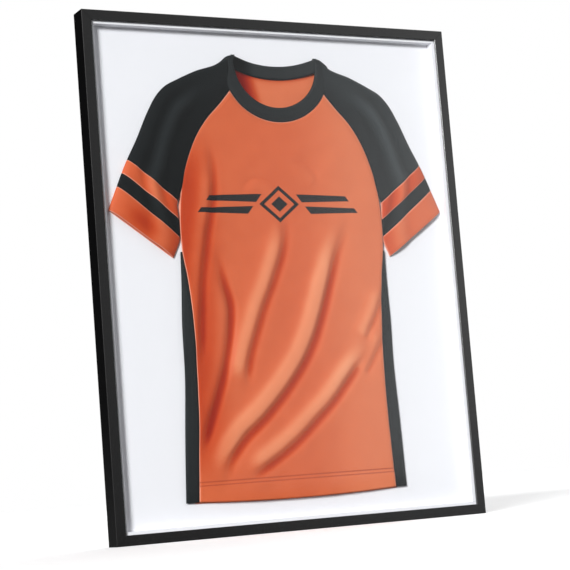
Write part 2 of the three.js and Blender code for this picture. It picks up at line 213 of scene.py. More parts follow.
def newMaterial(name, **sockets):
    material = bpy.data.materials.new(name)
    material.use_nodes = True
    tree = material.node_tree
    shader = tree.nodes["Principled BSDF"]
    for socketName, value in sockets.items():
        shader.inputs[socketName.replace("_", " ")].default_value = value
    return material, tree, shader


def newGroup(name, inputs, outputs):
    group = bpy.data.node_groups.new(name, "ShaderNodeTree")
    for socketName, kind, default in inputs:
        socket = group.interface.new_socket(name=socketName, in_out="INPUT", socket_type=kind)
        if default is not None:
            socket.default_value = default
    for socketName, kind in outputs:
        group.interface.new_socket(name=socketName, in_out="OUTPUT", socket_type=kind)
    return group, group.nodes.new("NodeGroupInput"), group.nodes.new("NodeGroupOutput")


def place(tree, group, **values):
    node = tree.nodes.new("ShaderNodeGroup")
    node.node_tree = group
    for socketName, value in values.items():
        feed(tree, node.inputs[socketName], value)
    return node.outputs


def makeKnitGroup():
    # jersey knit: columns of slanted loops, each column a rounded rib whose courses lean to its middle
    group, given, out = newGroup(
        "knitLoops",
        [("Cloth", "NodeSocketVector", None), ("Columns per metre", "NodeSocketFloat", 900.0),
         ("Courses per metre", "NodeSocketFloat", 1100.0)],
        [("Height", "NodeSocketFloat"), ("Tone", "NodeSocketFloat")])
    x, y, _ = split(group, given.outputs["Cloth"])
    column = calc(group, "MULTIPLY", x, given.outputs["Columns per metre"])
    inColumn = calc(group, "PINGPONG", column, 0.5)
    rib = calc(group, "SINE", calc(group, "MULTIPLY", inColumn, 6.2832))
    course = calc(group, "MULTIPLY", y, given.outputs["Courses per metre"])
    leaning = calc(group, "MULTIPLY_ADD", inColumn, 1.2, course)
    loop = calc(group, "ABSOLUTE", calc(group, "SINE", calc(group, "MULTIPLY", leaning, 3.1416)))
    height = calc(group, "MULTIPLY", calc(group, "MULTIPLY_ADD", rib, 0.6, 0.4), loop)
    patches = noise(group, given.outputs["Cloth"], 38, 4)
    fibres = noise(group, given.outputs["Cloth"], 1600, 2)
    # a little darker where the loops lie low: painted shade between the loops; the patches and fibres
    # are random tone
    tone = calc(group, "MULTIPLY_ADD", calc(group, "SUBTRACT", height, 0.5), 0.16,
                calc(group, "MULTIPLY_ADD", patches, 0.35,
                     calc(group, "MULTIPLY_ADD", fibres, 0.25, 0.2)))
    feed(group, out.inputs["Height"], height)
    feed(group, out.inputs["Tone"], tone)
    return group


def makeStitchGroup():
    # a sewn seam: a mask for the painted seam line at the seam itself, and a row of stitches a little
    # way in
    group, given, out = newGroup(
        "seamStitches",
        [("Along", "NodeSocketFloat", 0.0), ("Distance", "NodeSocketFloat", 50.0),
         ("Row", "NodeSocketFloat", 4.0), ("Pitch", "NodeSocketFloat", 2.6)],
        [("PaintedSeamShading", "NodeSocketFloat"), ("Stitch", "NodeSocketFloat")])
    distance = given.outputs["Distance"]
    crease = mapRange(group, distance, 0.7, 1.9, 1.0, 0.0)
    off = calc(group, "ABSOLUTE", calc(group, "SUBTRACT", distance, given.outputs["Row"]))
    line = mapRange(group, off, 0.25, 0.75, 1.0, 0.0)
    phase = calc(group, "DIVIDE", given.outputs["Along"], given.outputs["Pitch"])
    dash = mapRange(group, calc(group, "PINGPONG", phase, 0.5), 0.06, 0.16)
    feed(group, out.inputs["PaintedSeamShading"], crease)
    feed(group, out.inputs["Stitch"], calc(group, "MULTIPLY", line, dash))
    return group


def makeGrainGroup():
    # fine grain and slow patches, for boards, foil and rubber
    group, given, out = newGroup(
        "fineGrain",
        [("Place", "NodeSocketVector", None), ("Fine", "NodeSocketFloat", 900.0),
         ("Slow", "NodeSocketFloat", 12.0)],
        [("Grain", "NodeSocketFloat"), ("Patches", "NodeSocketFloat")])
    for scaleName, outName, detail in (("Fine", "Grain", 3.0), ("Slow", "Patches", 4.0)):
        node = group.nodes.new("ShaderNodeTexNoise")
        feed(group, node.inputs["Vector"], given.outputs["Place"])
        feed(group, node.inputs["Scale"], given.outputs[scaleName])
        node.inputs["Detail"].default_value = detail
        feed(group, out.inputs[outName], node.outputs[0])
    return group


knitLoops = makeKnitGroup()
seamStitches = makeStitchGroup()
fineGrain = makeGrainGroup()

finishes = {
    "foilBlack": (0.0018, 0.0018, 0.0020, 1),
    "foilWorn": (0.0065, 0.0065, 0.0070, 1),
    "cardWhite": (0.87, 0.865, 0.90, 1),
    "cardShade": (0.78, 0.78, 0.82, 1),
    "hardboardBrown": (0.165, 0.085, 0.042, 1),
    "hardboardDark": (0.085, 0.042, 0.02, 1),
    "zinc": (0.56, 0.57, 0.585, 1),
    "zincDull": (0.33, 0.335, 0.35, 1),
    "rubberBlack": (0.016, 0.016, 0.017, 1),
}


def makeFoil():
    # matt black foil on the moulding: fine leathery grain, slightly greyer and rougher in patches
    material, tree, shader = newMaterial("black_foil", Roughness=0.4, Specular_IOR_Level=1.0)
    grain, patches = list(place(tree, fineGrain, Place=objectPlace(tree), Fine=1500.0, Slow=9.0))
    wear = mapRange(tree, patches, 0.35, 0.8)
    speck = mapRange(tree, grain, 0.6, 0.85)
    tone = calc(tree, "MULTIPLY_ADD", speck, 0.18, calc(tree, "MULTIPLY", wear, 0.25))
    feed(tree, shader.inputs["Base Color"],
         mixColour(tree, tone, finishes["foilBlack"], finishes["foilWorn"]))
    feed(tree, shader.inputs["Roughness"], calc(tree, "MULTIPLY_ADD", grain, 0.12, 0.20))
    feed(tree, shader.inputs["Normal"], raised(tree, grain, 0.00008, 0.4))
    return material


def makeAcrylic():
    # clear sheet: see-through apart from its gloss, which grows towards grazing views and is a
    # little smeared
    material = bpy.data.materials.new("clear_acrylic")
    material.use_nodes = True
    tree = material.node_tree
    tree.nodes.clear()
    out = tree.nodes.new("ShaderNodeOutputMaterial")
    clear = tree.nodes.new("ShaderNodeBsdfTransparent")
    clear.inputs["Color"].default_value = (0.985, 0.99, 0.99, 1)
    gloss = tree.nodes.new("ShaderNodeBsdfPrincipled")
    gloss.inputs["Base Color"].default_value = (0.95, 0.96, 0.97, 1)
    gloss.inputs["Metallic"].default_value = 1.0
    smear = noise(tree, stretched(tree, objectPlace(tree), 3, 1, 1.6), 4.0, 4)
    feed(tree, gloss.inputs["Roughness"], mapRange(tree, smear, 0.35, 0.75, 0.04, 0.10))
    layer = tree.nodes.new("ShaderNodeLayerWeight")
    layer.inputs["Blend"].default_value = 0.5
    mix = tree.nodes.new("ShaderNodeMixShader")
    feed(tree, mix.inputs[0], calc(tree, "MULTIPLY_ADD", layer.outputs["Facing"], 0.10, 0.028))
    feed(tree, mix.inputs[1], clear.outputs[0])
    feed(tree, mix.inputs[2], gloss.outputs[0])
    feed(tree, out.inputs["Surface"], mix.outputs[0])
    return material


def makeCard():
    # white card: paper tooth and the faintest patches of tone
    material, tree, shader = newMaterial("white_card", Roughness=0.85)
    grain, patches = list(place(tree, fineGrain, Place=objectPlace(tree), Fine=2200.0, Slow=4.0))
    tone = calc(tree, "MULTIPLY_ADD", grain, 0.10, calc(tree, "MULTIPLY", patches, 0.10))
    feed(tree, shader.inputs["Base Color"],
         mixColour(tree, tone, finishes["cardWhite"], finishes["cardShade"]))
    feed(tree, shader.inputs["Roughness"], calc(tree, "MULTIPLY_ADD", grain, 0.12, 0.78))
    feed(tree, shader.inputs["Normal"], raised(tree, grain, 0.00006, 0.4))
    return material


def makeHardboard():
    # pressed fibre board: short fibres lying every way, darker flecks
    material, tree, shader = newMaterial("hardboard", Roughness=0.75)
    spot = objectPlace(tree)
    fibreOne = noise(tree, stretched(tree, spot, 260, 260, 1500), 1.0, 4)
    fibreTwo = noise(tree, stretched(tree, spot, 1500, 260, 260), 1.0, 4)
    patches = mapRange(tree, noise(tree, spot, 7, 6, 0.65), 0.32, 0.68)
    fibre = calc(tree, "MAXIMUM", fibreOne, fibreTwo)
    tone = calc(tree, "MULTIPLY_ADD", patches, 0.45, mapRange(tree, fibre, 0.45, 0.75, 0.0, 0.55))
    feed(tree, shader.inputs["Base Color"],
         mixColour(tree, tone, finishes["hardboardBrown"], finishes["hardboardDark"]))
    feed(tree, shader.inputs["Roughness"], calc(tree, "MULTIPLY_ADD", fibre, 0.3, 0.55))
    feed(tree, shader.inputs["Normal"], raised(tree, fibre, 0.0002, 0.5))
    return material


def makeZinc():
    # bright zinc plate: soft spangle, fine scratches and duller spots
    material, tree, shader = newMaterial("zinc_plate", Metallic=1.0, Roughness=0.35)
    spot = objectPlace(tree)
    spangle = noise(tree, spot, 420, 3)
    scratch = noise(tree, stretched(tree, spot, 4000, 4000, 300), 1.0, 2)
    dull = mapRange(tree, spangle, 0.4, 0.7)
    feed(tree, shader.inputs["Base Color"],
         mixColour(tree, dull, finishes["zinc"], finishes["zincDull"]))
    feed(tree, shader.inputs["Roughness"],
         calc(tree, "MULTIPLY_ADD", scratch, 0.25, calc(tree, "MULTIPLY_ADD", dull, 0.12, 0.18)))
    feed(tree, shader.inputs["Normal"], raised(tree, scratch, 0.00004, 0.5))
    return material


def makeRubber():
    # soft black rubber: fine grain and slow grey patches
    material, tree, shader = newMaterial("soft_rubber", Roughness=0.85)
    grain, patches = list(place(tree, fineGrain, Place=objectPlace(tree), Fine=1200.0, Slow=60.0))
    tone = calc(tree, "MULTIPLY", patches, 0.7)
    feed(tree, shader.inputs["Base Color"],
         mixColour(tree, tone, finishes["rubberBlack"], finishes["foilWorn"]))
    feed(tree, shader.inputs["Roughness"], calc(tree, "MULTIPLY_ADD", grain, 0.2, 0.7))
    feed(tree, shader.inputs["Normal"], raised(tree, grain, 0.0002, 0.5))
    return material


foil, acrylic, card = makeFoil(), makeAcrylic(), makeCard()
hardboard, zinc, rubber = makeHardboard(), makeZinc(), makeRubber()

# The finish of each frame node, by the start of its name.
nodeFinish = {
    "frame_": foil, "glazing": acrylic, "spacer_": card, "mount_board": card, "jersey_former": card,
    "back_panel": hardboard, "turn_button_": zinc, "button_screw_": zinc, "sawtooth_hanger_": zinc,
    "hanger_tack_": zinc, "corner_nail_": zinc, "jersey_pin_": zinc, "wall_pad_": rubber,
}
for nodeName, node in nodes.items():
    for start, material in nodeFinish.items():
        if nodeName.startswith(start):
            node.data.materials.clear()
            node.data.materials.append(material)
print("frame finishes on")

# Right half, in millimetres: x from the centre line, z up from the hem.
pattern = {
    "length": 713,
    "neckCentre": 699, "neckInner": (75, 73), "neckOuter": (98, 96),
    "collarPeak": (72, 713), "collarShoulder": (86, 709),
    "backNeckLow": 674, "backNeckHigh": 697, "backNeckRise": 15,
    "raglanSeam": [(86, 653), (107, 629), (130, 605), (148, 579), (160, 554), (171, 523),
                   (178, 493), (182, 460), (182, 396)],
    "sideSeam": [(182, 396), (176, 352), (170, 279), (168, 214), (170, 114), (173, 53), (175.5, 5)],
    "sideEdge": [(184.5, 392), (185, 352), (188, 276), (188, 199), (192, 116), (195, 52), (197, 6)],
    "sleeveOuter": [(86, 709), (98, 699), (141, 683), (174, 668), (196, 656), (212, 639), (225, 617),
                    (249, 567), (265, 537), (275, 516), (284, 495), (300, 458)],
    "sleeveInner": [(86, 653), (107, 629), (130, 605), (148, 579), (160, 554), (171, 523),
                    (178, 493), (185, 473), (184, 444), (183.5, 415), (196, 383)],
    "backSide": [(180, 3), (178, 52), (176, 116), (174, 200), (174, 276), (178, 352), (180, 396),
                 (182, 460), (178, 493), (171, 523), (160, 554), (148, 579), (130, 605), (107, 629),
                 (88, 672), (80, 702)],
    "leanLow": -8, "leanHigh": 7,
}

# Depths behind the frame's front face, in millimetres.
depths = {
    "chest": 9.5, "looseness": 3.9, "deepest": 13.4, "softness": 0.5, "crownPower": 3.2,
    "sideSeam": 13.2, "fold": 15.8, "backSheet": 18.3, "sleeve": 10.8, "cuffInner": 16.4,
    "collarFront": 8.7, "collarBackMiddle": 16.2, "collarBackEnd": 12.6,
}


def toWorld(x, z, depth):
    # pattern place and depth to metres; the centre line leans a little from hem to collar
    lean = pattern["leanLow"] + (pattern["leanHigh"] - pattern["leanLow"]) * z / pattern["length"]
    return np.stack([(x + lean) * millimetre, frontFace + depth * millimetre,
                     hemHeight + z * millimetre], -1)


# Soft folds of the body. Each follows a path from top to bottom, where the cloth drops from a crest
# on its left to a valley on its right; heights and widths in millimetres.
folds = [
    {"path": [(-138, 587), (-128, 526), (-131, 475), (-142, 424), (-150, 374), (-156, 329), (-160, 281),
              (-163, 217)], "crest": 2.8, "valley": 2.8, "width": 12},
    {"path": [(-131, 400), (-120, 344), (-111, 305), (-113, 267), (-123, 216), (-142, 160), (-159, 113),
              (-168, 83)], "crest": 1.6, "valley": 4.0, "width": 12},
    {"path": [(-3, 465), (-10, 402), (-30, 349), (-51, 304), (-69, 259), (-82, 221), (-90, 180)],
     "crest": 3.4, "valley": 3.0, "width": 13},
    {"path": [(115, 460), (107, 435), (86, 388), (67, 335), (51, 289), (24, 230), (-8, 186), (-55, 136),
              (-100, 97), (-123, 67), (-134, 38)], "crest": 4.6, "valley": 4.0, "width": 14},
    {"path": [(150, 262), (125, 220), (100, 191), (63, 150), (28, 119), (-8, 89), (-53, 60), (-90, 40)],
     "crest": 3.6, "valley": 3.4, "width": 13},
    {"path": [(178, 336), (157, 290), (132, 246)], "crest": 2.0, "valley": 1.7, "width": 10},
    {"path": [(172, 262), (152, 226), (128, 190)], "crest": 1.8, "valley": 1.6, "width": 10},
    {"path": [(-75, 480), (-53, 504), (-31, 502), (-6, 480)], "crest": 0.9, "valley": 0.8, "width": 9},
    {"path": [(15, 536), (41, 529), (64, 508)], "crest": 0.9, "valley": 0.8, "width": 9},
]


# Where a fold's valley and crest lie beside its path and how broad they are, in shares of its width.
foldShape = {"valleyAt": 0.5, "valleyWidth": 0.65, "crestAt": 0.95, "crestWidth": 1.25}


def foldField(x, z):
    # sum of the folds: across each path a broad bell-shaped crest, then a narrow valley, fading in
    # and out at the path's ends
    total = np.zeros_like(x)
    for fold in folds:
        share = np.linspace(0, 1, 90)
        spine = smoothCurve(fold["path"], share)
        direction = np.gradient(spine, axis=0)
        direction /= np.linalg.norm(direction, axis=1)[:, None]
        offset = np.stack([x, z], -1)[..., None, :] - spine
        nearest = (offset ** 2).sum(-1).argmin(-1)
        away = np.take_along_axis(offset, nearest[..., None, None], -2)[..., 0, :]
        tangent = direction[nearest]
        side = tangent[..., 0] * away[..., 1] - tangent[..., 1] * away[..., 0]
        beyond = (away * tangent).sum(-1)
        where = share[nearest]
        w, f = fold["width"], foldShape
        fade = smoothStep(where, -0.02, 0.3) * (1 - smoothStep(where, 0.88, 1.03)) * bump(beyond, w)
        total += fade * (fold["valley"] * bump(side - f["valleyAt"] * w, f["valleyWidth"] * w)
                         - fold["crest"] * bump(side + f["crestAt"] * w, f["crestWidth"] * w))
    return total


ripple = {"seed": 7, "waves": 26, "height": 0.16, "longest": 160, "shortest": 34}


def rippleField(x, z):
    # a low random swell: many sine waves of every direction, longer ones higher
    rng = np.random.default_rng(ripple["seed"])
    total = np.zeros_like(x)
    for _ in range(ripple["waves"]):
        length = ripple["shortest"] * (ripple["longest"] / ripple["shortest"]) ** rng.random()
        angle, phase = rng.random() * np.pi, rng.random() * 2 * np.pi
        wave = np.sin(2 * np.pi * (x * np.cos(angle) + z * np.sin(angle)) / length + phase)
        total += ripple["height"] * (length / ripple["longest"]) * wave
    return total


def bodyDepth(x, z):
    # the chest is a shallow crown that falls away to the side seams, with the folds on top, and it
    # eases off softly at the deepest level that the former allows
    widest = pattern["sideSeam"][0][0]
    crown = (depths["sideSeam"] - depths["chest"]) * np.abs(x / widest) ** depths["crownPower"]
    loose, soft = depths["looseness"], depths["softness"]
    depth = depths["chest"] + crown + loose * np.tanh((foldField(x, z) + rippleField(x, z)) / loose)
    return depths["deepest"] - soft * np.log1p(np.exp((depths["deepest"] - depth) / soft))


clothColours = {
    "orange": (0.69, 0.128, 0.038, 1), "orangeDeep": (0.57, 0.085, 0.022, 1),
    "orangePale": (0.79, 0.175, 0.06, 1),
    "charcoal": (0.0095, 0.0125, 0.0137, 1), "charcoalDeep": (0.0065, 0.0085, 0.0095, 1),
    "charcoalPale": (0.0145, 0.0185, 0.0205, 1),
    "print": (0.010, 0.009, 0.010, 1),
    "orangeStitch": (0.40, 0.055, 0.016, 1), "charcoalStitch": (0.022, 0.027, 0.029, 1),
    # the Edge colours are painted light at the seams: a pale painted highlight on the orange's turned
    # edge, a dark painted shade in the charcoal's crease
    "orangeEdge": (0.84, 0.36, 0.25, 1), "charcoalEdge": (0.002, 0.0018, 0.002, 1),
}

graphic = {"middle": (-9, 468), "diamond": (36, 30), "inside": (27.225, 22.85), "core": (15, 12.5),
           "barStart": 44, "barEnd": 134, "barMiddle": 9.72, "barHalf": 6.4, "barTip": 0.62,
           "slant": 0.8, "blur": 0.3}
hemStitch = {"low": 29.0, "high": 34.5, "perMetre": 380.0}  # two rows, millimetres above the hem


def graphicMask(tree, x, z):
    # the chest print: a diamond ring with a small diamond in it, and two tapered bars on each side
    g = graphic
    across = calc(tree, "ABSOLUTE", calc(tree, "SUBTRACT", x, g["middle"][0] * millimetre))
    up = calc(tree, "SUBTRACT", z, g["middle"][1] * millimetre)
    height = calc(tree, "ABSOLUTE", up)

    def diamond(size):
        wide, tall = size
        reach = calc(tree, "MULTIPLY_ADD", across, 1 / (wide * millimetre),
                     calc(tree, "MULTIPLY", height, 1 / (tall * millimetre)))
        return mapRange(tree, reach, 1 - 0.5 / tall, 1 + 0.5 / tall, 1.0, 0.0)

    ring = calc(tree, "SUBTRACT", diamond(g["diamond"]), diamond(g["inside"]))
    blur, start, end, half = (g[key] * millimetre for key in ("blur", "barStart", "barEnd", "barHalf"))
    slant = calc(tree, "MULTIPLY_ADD", up, g["slant"], across)
    inBar = calc(tree, "MULTIPLY", mapRange(tree, slant, start - blur, start + blur),
                 mapRange(tree, slant, end - blur, end + blur, 1.0, 0.0))
    thin = mapRange(tree, across, start, end, half, g["barTip"] * half, smooth=False)
    offBar = calc(tree, "ABSOLUTE", calc(tree, "SUBTRACT", height, g["barMiddle"] * millimetre))
    band = mapRange(tree, calc(tree, "SUBTRACT", offBar, thin), -blur, blur, 1.0, 0.0)
    bars = calc(tree, "MULTIPLY", inBar, band)
    return calc(tree, "MAXIMUM", calc(tree, "MAXIMUM", ring, diamond(g["core"])), bars, clamp=True)


def makeCloth(name, middle, deep, pale, printed=False, hemmed=False, gloss=0.5, row=5.0,
              loopHeight=0.00012):
    # knitted polyester: loops, slow tone, painted shade and light, a painted seam line and a stitch row
    # at the seams, a low sheen
    material, tree, shader = newMaterial(name, Roughness=0.55)
    shader.inputs["Sheen Weight"].default_value = 0.02
    shader.inputs["Sheen Roughness"].default_value = 0.45
    shader.inputs["Sheen Tint"].default_value = (1.0, 0.93, 0.9, 1)
    clothMap = tree.nodes.new("ShaderNodeUVMap")
    clothMap.uv_map = "cloth"
    cloth = clothMap.outputs[0]
    height, tone = list(place(tree, knitLoops, Cloth=cloth))
    colour = mixColour(tree, mapRange(tree, tone, 0.25, 0.75, 0.0, 1.0, smooth=False),
                       clothColours[deep], clothColours[pale])
    colour = mixColour(tree, 0.55, colour, clothColours[middle])
    # painted shade and light: colour to the power 1 + 0.45 * the painted value and scaled darker, so
    # the painted hollows come out deeper in colour, values below 0 lighter; the gloss dies away with it
    paintedShading = tree.nodes.new("ShaderNodeAttribute")
    paintedShading.attribute_name = "paintedShading"
    paintedDeepening = tree.nodes.new("ShaderNodeGamma")
    feed(tree, paintedDeepening.inputs["Color"], colour)
    feed(tree, paintedDeepening.inputs["Gamma"], calc(tree, "MULTIPLY_ADD", paintedShading.outputs["Fac"], 0.45, 1.0))
    shade = mapRange(tree, paintedShading.outputs["Fac"], -1.0, 3.0, 1.1, 0.45, smooth=False)
    dimmed = tree.nodes.new("ShaderNodeVectorMath")
    dimmed.operation = "SCALE"
    feed(tree, dimmed.inputs[0], paintedDeepening.outputs[0])
    feed(tree, dimmed.inputs["Scale"], shade)
    colour = dimmed.outputs[0]
    feed(tree, shader.inputs["Specular IOR Level"],
         mapRange(tree, paintedShading.outputs["Fac"], -0.6, 0.6, gloss, 0.0))
    distance = tree.nodes.new("ShaderNodeAttribute")
    distance.attribute_name = "seamDistance"
    x, z, _ = split(tree, cloth)
    along = calc(tree, "MULTIPLY", z, 1000.0)
    crease, stitch = list(place(tree, seamStitches, Along=along,
                                Distance=distance.outputs["Fac"], Row=row))
    if printed:
        ink = graphicMask(tree, x, z)
        worn = calc(tree, "MULTIPLY", ink, mapRange(tree, tone, 0.1, 0.3, 0.9, 1.0))
        colour = mixColour(tree, worn, colour, clothColours["print"])
        feed(tree, shader.inputs["Roughness"], mapRange(tree, ink, 0.0, 1.0, 0.56, 0.42, smooth=False))
    else:
        feed(tree, shader.inputs["Roughness"], calc(tree, "MULTIPLY_ADD", tone, 0.15, 0.48))
    # the seam line is painted: a pale painted highlight on orange, a near-black painted shade on
    # charcoal
    colour = mixColour(tree, calc(tree, "MULTIPLY", crease, 0.7), colour, clothColours[middle + "Edge"])
    dented = calc(tree, "MULTIPLY", stitch, 0.35)
    if hemmed:
        hemOne = calc(tree, "ABSOLUTE", calc(tree, "SUBTRACT", along, hemStitch["low"]))
        hemTwo = calc(tree, "ABSOLUTE", calc(tree, "SUBTRACT", along, hemStitch["high"]))
        nearHem = mapRange(tree, calc(tree, "MINIMUM", hemOne, hemTwo), 0.5, 1.5, 1.3, 0.0)
        phase = calc(tree, "PINGPONG", calc(tree, "MULTIPLY", x, hemStitch["perMetre"]), 0.5)
        dash = mapRange(tree, phase, 0.06, 0.16)
        dented = calc(tree, "MAXIMUM", dented, calc(tree, "MULTIPLY", nearHem, dash))
    inStitch = calc(tree, "MULTIPLY", dented, 0.7, clamp=True)
    colour = mixColour(tree, inStitch, colour, clothColours[middle + "Stitch"])
    feed(tree, shader.inputs["Base Color"], colour)
    relief = calc(tree, "MULTIPLY_ADD", dented, -1.2, height)
    feed(tree, shader.inputs["Normal"], raised(tree, relief, loopHeight, 0.4))
    return material


orangeCloth = makeCloth("orange_knit", "orange", "orangeDeep", "orangePale")
frontCloth = makeCloth("orange_knit_front", "orange", "orangeDeep", "orangePale",
                       printed=True, hemmed=True)
charcoalCloth = makeCloth("charcoal_knit", "charcoal", "charcoalDeep", "charcoalPale", gloss=0.14,
                          loopHeight=0.00007)
ribCloth = makeCloth("charcoal_rib", "charcoal", "charcoalDeep", "charcoalPale", gloss=0.3, row=3.0)
print("cloth finishes made")

frontPanel = {"columns": 150, "rows": 250, "columnCrowd": 0.35, "rowCrowd": 0.15, "wall": 0.7,
              "roll": 0.9, "rollReach": 2.6, "shallowest": 5.5,
              "hemHeight": 30, "hemProud": 0.45, "hemDip": 5, "stitchDip": 0.35, "stitchReach": 1.6,
              "neckFrom": 560, "awayFromNeck": 60,
              "valleyShade": 1.25, "crestLight": 0.65, "leftShade": 0.85, "rightLight": 0.35}


def frontOutline(v):
    # half-width and seam height of the front panel from the hem, up the side seam and the raglan seam
    seam = pattern["sideSeam"][::-1] + pattern["raglanSeam"][::-1][1:]
    seamPoint = smoothCurve(seam, v)
    return seamPoint[..., 0], seamPoint[..., 1]


def frontGrid(u, v):
    # rows run from the hem's shallow arc to the neck's half-ellipse, columns from seam to seam
    halfWidth, seamHeight = frontOutline(v)
    wide, tall = pattern["neckOuter"]
    topWidth = pattern["raglanSeam"][0][0]
    neck = pattern["neckCentre"] - tall * np.sqrt(1 - (topWidth * u / wide) ** 2)
    neckSide = pattern["raglanSeam"][0][1]
    neckLow = pattern["neckCentre"] - tall
    neckShape = (neck - neckLow) / (neckSide - neckLow)
    hemShape = u ** 2
    share = smoothStep(v, 0.45, 1.0)
    hemDip = frontPanel["hemDip"]
    dip = hemDip + (neckSide - neckLow - hemDip) * share
    shape = hemShape * (1 - share) + neckShape * share
    return halfWidth * u, seamHeight - dip * (1 - shape)


def makeFront():
    # the body's depth at each pattern place, rolled under at the seams and doubled at the hem
    f = frontPanel
    u, v = np.meshgrid(2 * evenToEdges(f["columns"], f["columnCrowd"]) - 1,
                       evenToEdges(f["rows"], f["rowCrowd"]))
    x, z = frontGrid(u, v)
    halfWidth, _ = frontOutline(v)
    toSeam = (1 - np.abs(u)) * halfWidth
    wide, tall = pattern["neckOuter"]
    neckDistance = (np.sqrt((x / wide) ** 2 + ((z - pattern["neckCentre"]) / tall) ** 2) - 1) * tall
    neckDistance = np.where(z > f["neckFrom"], neckDistance, f["awayFromNeck"])
    edge = np.minimum(toSeam, np.abs(neckDistance))
    hemBand = 1 - smoothStep(z, f["hemHeight"] - 1.5, f["hemHeight"] + 1.0)
    stitchDip = f["stitchDip"] * bump(z - f["hemHeight"], f["stitchReach"])
    depth = bodyDepth(x, z) + f["roll"] * bump(edge, f["rollReach"]) \
        - f["hemProud"] * hemBand + stitchDip
    depth = np.maximum(depth, f["shallowest"])
    # painted shade and light: darker in the fold valleys and along the left edge, lighter on the fold
    # crests and over the right half
    field = foldField(x, z)
    leftEdgeShadeMask = smoothStep(-x, 100, 172) * smoothStep(-z, -600, -500) * smoothStep(z, 10, 130)
    paintedShading = f["valleyShade"] * smoothStep(field, 0.2, 3.6) \
        - f["crestLight"] * smoothStep(-field, 0.4, 3.6) \
        + f["leftShade"] * leftEdgeShadeMask - f["rightLight"] * smoothStep(x, 0, 140)
    cloth = np.stack([x, z], -1) * millimetre
    piece = gridMesh("jersey_front_cloth", toWorld(x, z, depth), cloth, edge, paintedShading)
    thicken(piece, f["wall"])
    dress(piece, frontCloth, "orange_jersey", "jersey_front")
    return piece


front = makeFront()

backPanel = {"columns": 60, "rows": 120, "columnCrowd": 0.2, "wall": 0.7, "hemDip": 4,
             "crease": 0.5, "creaseHeight": 652, "swell": 0.25, "inEdge": 0.5,
             "collarShade": 4.2, "bandShade": 0.9, "lowShade": 0.8, "openLight": 0.25}


def makeBack():
    # the back layer: flat against the board, its top edge the low curve of the back neck
    f = backPanel
    u, v = np.meshgrid(2 * evenToEdges(f["columns"], f["columnCrowd"]) - 1,
                       np.linspace(0, 1, f["rows"]))
    edgePoint = smoothCurve(pattern["backSide"], v)
    share = smoothStep(v, 0.5, 1.0)
    topDip = pattern["backNeckRise"] * share + f["hemDip"] * (1 - share)
    x = edgePoint[..., 0] * u
    z = edgePoint[..., 1] - topDip * (1 - u ** 2)
    crease = f["crease"] * bump(z - f["creaseHeight"] - 0.06 * x, 5) * (np.abs(x) < 90)
    swell = f["swell"] * np.sin(x / 23 + z / 31) * smoothStep(z, 560, 620)
    inEdge = f["inEdge"] * np.abs(u) ** 4 * smoothStep(z, 600, 680)
    depth = depths["backSheet"] - inEdge - crease - swell
    edge = (1 - np.abs(u)) * 100
    cloth = np.stack([x, z], -1) * millimetre
    # painted shade inside the neck: a painted shadow of the collar on the left, a painted shade line
    # under the neckband along the top and painted shade along the bottom of the opening; the whole
    # sheet is painted a little lighter
    bandLow = pattern["backNeckLow"] + pattern["backNeckRise"] * (x / pattern["neckInner"][0]) ** 2
    neckShade = f["collarShade"] * smoothStep(-x - 0.25 * (z - 650), 24, 66) \
        + f["bandShade"] * bump(z - bandLow, 3.5) \
        + f["lowShade"] * (1 - smoothStep((z - 603) - 0.006 * x ** 2, 3, 16))
    paintedShading = neckShade * smoothStep(z, 590, 605) - f["openLight"]
    piece = gridMesh("jersey_back_cloth", toWorld(x, z, depth), cloth, edge, paintedShading)
    thicken(piece, f["wall"])
    dress(piece, orangeCloth, "orange_jersey", "jersey_back")
    return piece


back = makeBack()
print("body sewn")

sidePanel = {"rows": 170, "across": 26, "wall": 0.7, "girth": 34, "tuck": 16, "drop": 1.5,
             "seamStep": 0.35, "swell": 0.5, "drift": 0.4}


def makeSide(side, name):
    # a strip from the front seam round the body's edge to the back: two quarter-ellipses
    f = sidePanel
    v, turn = np.meshgrid(np.linspace(0, 1, f["rows"]), np.linspace(0, np.pi, f["across"]),
                          indexing="ij")
    seam = smoothCurve(pattern["sideSeam"][::-1], v)
    rim = smoothCurve(pattern["sideEdge"][::-1], v)
    z = rim[..., 1] - f["drop"] * (1 - smoothStep(rim[..., 1], 0, 70))
    seamX = seam[..., 0]
    rimX = rim[..., 0]
    frontDepth = bodyDepth(side * seamX, seam[..., 1]) + 0.3
    foldDepth = depths["fold"] + f["drift"] * np.sin(z / 37 + side)
    isFront = turn < np.pi / 2
    x = np.where(isFront, seamX + (rimX - seamX) * np.sin(turn),
                 rimX - f["tuck"] * (1 - np.sin(turn)))
    depth = np.where(isFront, foldDepth - (foldDepth - frontDepth) * np.cos(turn),
                     foldDepth + (depths["backSheet"] - 0.2 - foldDepth) * -np.cos(turn))
    swell = f["swell"] * np.sin(turn * 2) * np.sin(z / 61 + 1) * isFront
    depth = depth + f["seamStep"] * bump(turn, 0.12) - swell
    girth = turn / np.pi * f["girth"]
    cloth = np.stack([girth, z], -1) * millimetre
    edge = np.minimum(girth, f["girth"] - girth) * 0.9
    points = toWorld(side * x, z, depth)
    if side < 0:
        points, cloth, edge = points[:, ::-1], cloth[:, ::-1], edge[:, ::-1]
    piece = gridMesh(name + "_cloth", points, cloth, edge)
    thicken(piece, f["wall"])
    dress(piece, charcoalCloth, "charcoal_jersey", name)
    return piece


for sideName, side in (("left", -1), ("right", 1)):
    makeSide(side, "side_panel_" + sideName)
print("side panels sewn")

